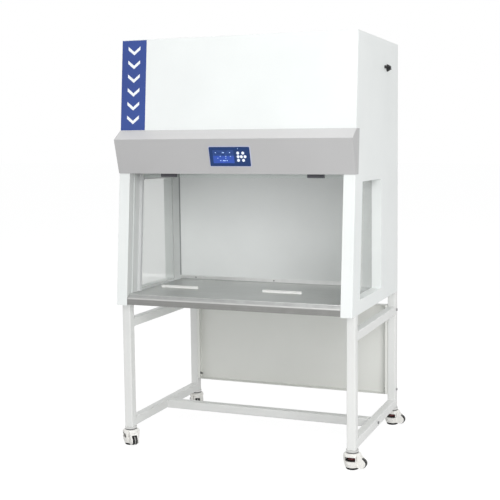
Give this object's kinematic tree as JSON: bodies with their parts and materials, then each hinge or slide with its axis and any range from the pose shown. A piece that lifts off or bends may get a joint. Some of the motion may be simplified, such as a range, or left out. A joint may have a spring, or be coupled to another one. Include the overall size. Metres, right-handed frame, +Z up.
{
  "type": "laminar flow hood",
  "caption": "White laminar flow hood with a leaning front, raised sash, glazed sides and stainless table, on a tube stand with levelling casters.",
  "frame": {"origin": "on the floor, in the middle of the four lowered feet", "axes": "+Z up, -Y out of the front, +X to the viewer's right when facing the front"},
  "size_m": [1.1805, 0.7915, 1.858],
  "materials": {
    "stand_paint": "powder coat",
    "zinc": "zinc plated",
    "white_paint": "powder coat",
    "clear_glass": "clear",
    "stainless": "brushed",
    "white_plastic": "gloss",
    "filter_medium": "pleated fibre",
    "galvanised": "galvanised",
    "motor_black": "satin",
    "aluminium": "satin",
    "canopy_grey": "powder coat",
    "bezel_black": "gloss",
    "screen_glass": "lit screen",
    "board_green": "board",
    "key_plastic": "satin",
    "grip_dark": "satin",
    "nylon": "satin",
    "lamp_white": "opal",
    "inlet_plastic": "satin",
    "stem_steel": "satin",
    "caster_ivory": "painted casting",
    "wheel_nylon": "nylon",
    "thumb_red": "satin",
    "foot_black": "matte"
  },
  "bodies": {
    "cabinet": {"back_wall": "white_paint", "base_pan": "white_paint", "blower_housing": "galvanised", "blower_motor": "motor_black", "caster_stems": "stem_steel", "control_board": "board_green", "control_canopy": "canopy_grey", "diffuser_tray": "aluminium", "display_bezel": "bezel_black", "display_screen": "screen_glass", "front_panel": "white_paint", "hepa_filter": "filter_medium", "intake_filter": "filter_medium", "plenum_box": "galvanised", "power_inlet": "inlet_plastic", "rear_lower_panel": "stand_paint", "rear_panel": "white_paint", "roof_panel": "white_paint", "sash_track_left": "aluminium", "sash_track_right": "aluminium", "side_glass_left": "clear_glass", "side_glass_right": "clear_glass", "side_wall_left": "white_paint", "side_wall_right": "white_paint", "stand_bolts": "zinc", "stand_frame_left": "stand_paint", "stand_frame_right": "stand_paint", "stand_stretcher": "stand_paint", "tray_pull_left": "white_plastic", "tray_pull_right": "white_plastic", "work_lamp": "lamp_white", "work_table": "stainless"},
    "sash": {"sash_glass": "clear_glass", "sash_grip_left": "grip_dark", "sash_grip_right": "grip_dark", "sash_sliders": "nylon"},
    "key_power_cap": {"key_power": "key_plastic"},
    "key_fan_cap": {"key_fan": "key_plastic"},
    "key_light_cap": {"key_light": "key_plastic"},
    "key_up_cap": {"key_up": "key_plastic"},
    "key_left_cap": {"key_left": "key_plastic"},
    "key_right_cap": {"key_right": "key_plastic"},
    "key_down_cap": {"key_down": "key_plastic"},
    "impeller": {"blower_impeller": "galvanised"},
    "caster_front_left": {"caster_housing_fl": "caster_ivory"},
    "wheel_front_left": {"caster_wheel_fl": "wheel_nylon"},
    "thumb_wheel_front_left": {"caster_thumb_wheel_fl": "thumb_red"},
    "foot_front_left": {"caster_foot_fl": "foot_black"},
    "caster_front_right": {"caster_housing_fr": "caster_ivory"},
    "wheel_front_right": {"caster_wheel_fr": "wheel_nylon"},
    "thumb_wheel_front_right": {"caster_thumb_wheel_fr": "thumb_red"},
    "foot_front_right": {"caster_foot_fr": "foot_black"},
    "caster_rear_left": {"caster_housing_rl": "caster_ivory"},
    "wheel_rear_left": {"caster_wheel_rl": "wheel_nylon"},
    "thumb_wheel_rear_left": {"caster_thumb_wheel_rl": "thumb_red"},
    "foot_rear_left": {"caster_foot_rl": "foot_black"},
    "caster_rear_right": {"caster_housing_rr": "caster_ivory"},
    "wheel_rear_right": {"caster_wheel_rr": "wheel_nylon"},
    "thumb_wheel_rear_right": {"caster_thumb_wheel_rr": "thumb_red"},
    "foot_rear_right": {"caster_foot_rr": "foot_black"}
  },
  "joints": [
    {"name": "sash_slide", "type": "slide", "parent": "cabinet", "child": "sash", "axis": [0, -0.0872, -0.9962], "range_m": [0, 0.525]},
    {"name": "key_power_press", "type": "slide", "parent": "cabinet", "child": "key_power_cap", "axis": [0, 0.9683, 0.2497], "range_m": [0, 0.0008], "stiffness_N_per_m": 1500, "springref_m": -0.0002},
    {"name": "key_fan_press", "type": "slide", "parent": "cabinet", "child": "key_fan_cap", "axis": [0, 0.9683, 0.2497], "range_m": [0, 0.0008], "stiffness_N_per_m": 1500, "springref_m": -0.0002},
    {"name": "key_light_press", "type": "slide", "parent": "cabinet", "child": "key_light_cap", "axis": [0, 0.9683, 0.2497], "range_m": [0, 0.0008], "stiffness_N_per_m": 1500, "springref_m": -0.0002},
    {"name": "key_up_press", "type": "slide", "parent": "cabinet", "child": "key_up_cap", "axis": [0, 0.9683, 0.2497], "range_m": [0, 0.0008], "stiffness_N_per_m": 1500, "springref_m": -0.0002},
    {"name": "key_left_press", "type": "slide", "parent": "cabinet", "child": "key_left_cap", "axis": [0, 0.9683, 0.2497], "range_m": [0, 0.0008], "stiffness_N_per_m": 1500, "springref_m": -0.0002},
    {"name": "key_right_press", "type": "slide", "parent": "cabinet", "child": "key_right_cap", "axis": [0, 0.9683, 0.2497], "range_m": [0, 0.0008], "stiffness_N_per_m": 1500, "springref_m": -0.0002},
    {"name": "key_down_press", "type": "slide", "parent": "cabinet", "child": "key_down_cap", "axis": [0, 0.9683, 0.2497], "range_m": [0, 0.0008], "stiffness_N_per_m": 1500, "springref_m": -0.0002},
    {"name": "impeller_spin", "type": "hinge", "parent": "cabinet", "child": "impeller", "pos_m": [0, -0.05, 1.62256], "axis": [1, 0, 0], "continuous": true},
    {"name": "swivel_front_left", "type": "hinge", "parent": "cabinet", "child": "caster_front_left", "pos_m": [-0.538, -0.3425, 0.07], "axis": [0, 0, 1], "continuous": true},
    {"name": "roll_front_left", "type": "hinge", "parent": "caster_front_left", "child": "wheel_front_left", "pos_m": [-0.50493, -0.37228, 0.026], "axis": [0.6691, 0.7431, 0], "continuous": true},
    {"name": "level_turn_front_left", "type": "hinge", "parent": "caster_front_left", "child": "thumb_wheel_front_left", "pos_m": [-0.538, -0.3425, 0.047], "axis": [0, 0, -1], "range_deg": [0, 1440]},
    {"name": "foot_lift_front_left", "type": "slide", "parent": "caster_front_left", "child": "foot_front_left", "axis": [0, 0, 1], "range_m": [0, 0.008]},
    {"name": "swivel_front_right", "type": "hinge", "parent": "cabinet", "child": "caster_front_right", "pos_m": [0.538, -0.3425, 0.07], "axis": [0, 0, 1], "continuous": true},
    {"name": "roll_front_right", "type": "hinge", "parent": "caster_front_right", "child": "wheel_front_right", "pos_m": [0.5825, -0.3425, 0.026], "axis": [0, 1, 0], "continuous": true},
    {"name": "level_turn_front_right", "type": "hinge", "parent": "caster_front_right", "child": "thumb_wheel_front_right", "pos_m": [0.538, -0.3425, 0.047], "axis": [0, 0, -1], "range_deg": [0, 1440]},
    {"name": "foot_lift_front_right", "type": "slide", "parent": "caster_front_right", "child": "foot_front_right", "axis": [0, 0, 1], "range_m": [0, 0.008]},
    {"name": "swivel_rear_left", "type": "hinge", "parent": "cabinet", "child": "caster_rear_left", "pos_m": [-0.538, 0.3425, 0.07], "axis": [0, 0, 1], "continuous": true},
    {"name": "roll_rear_left", "type": "hinge", "parent": "caster_rear_left", "child": "wheel_rear_left", "pos_m": [-0.51376, 0.30518, 0.026], "axis": [0.8387, 0.5446, 0], "continuous": true},
    {"name": "level_turn_rear_left", "type": "hinge", "parent": "caster_rear_left", "child": "thumb_wheel_rear_left", "pos_m": [-0.538, 0.3425, 0.047], "axis": [0, 0, -1], "range_deg": [0, 1440]},
    {"name": "foot_lift_rear_left", "type": "slide", "parent": "caster_rear_left", "child": "foot_rear_left", "axis": [0, 0, 1], "range_m": [0, 0.008]},
    {"name": "swivel_rear_right", "type": "hinge", "parent": "cabinet", "child": "caster_rear_right", "pos_m": [0.538, 0.3425, 0.07], "axis": [0, 0, 1], "continuous": true},
    {"name": "roll_rear_right", "type": "hinge", "parent": "caster_rear_right", "child": "wheel_rear_right", "pos_m": [0.5825, 0.3425, 0.026], "axis": [0, 1, 0], "continuous": true},
    {"name": "level_turn_rear_right", "type": "hinge", "parent": "caster_rear_right", "child": "thumb_wheel_rear_right", "pos_m": [0.538, 0.3425, 0.047], "axis": [0, 0, -1], "range_deg": [0, 1440]},
    {"name": "foot_lift_rear_right", "type": "slide", "parent": "caster_rear_right", "child": "foot_rear_right", "axis": [0, 0, 1], "range_m": [0, 0.008]}
  ],
  "couplings": [
    {"joint": "level_turn_front_left", "follows": "foot_lift_front_left", "rad_per_m": 3141.6},
    {"joint": "level_turn_front_right", "follows": "foot_lift_front_right", "rad_per_m": 3141.6},
    {"joint": "level_turn_rear_left", "follows": "foot_lift_rear_left", "rad_per_m": 3141.6},
    {"joint": "level_turn_rear_right", "follows": "foot_lift_rear_right", "rad_per_m": 3141.6}
  ]
}
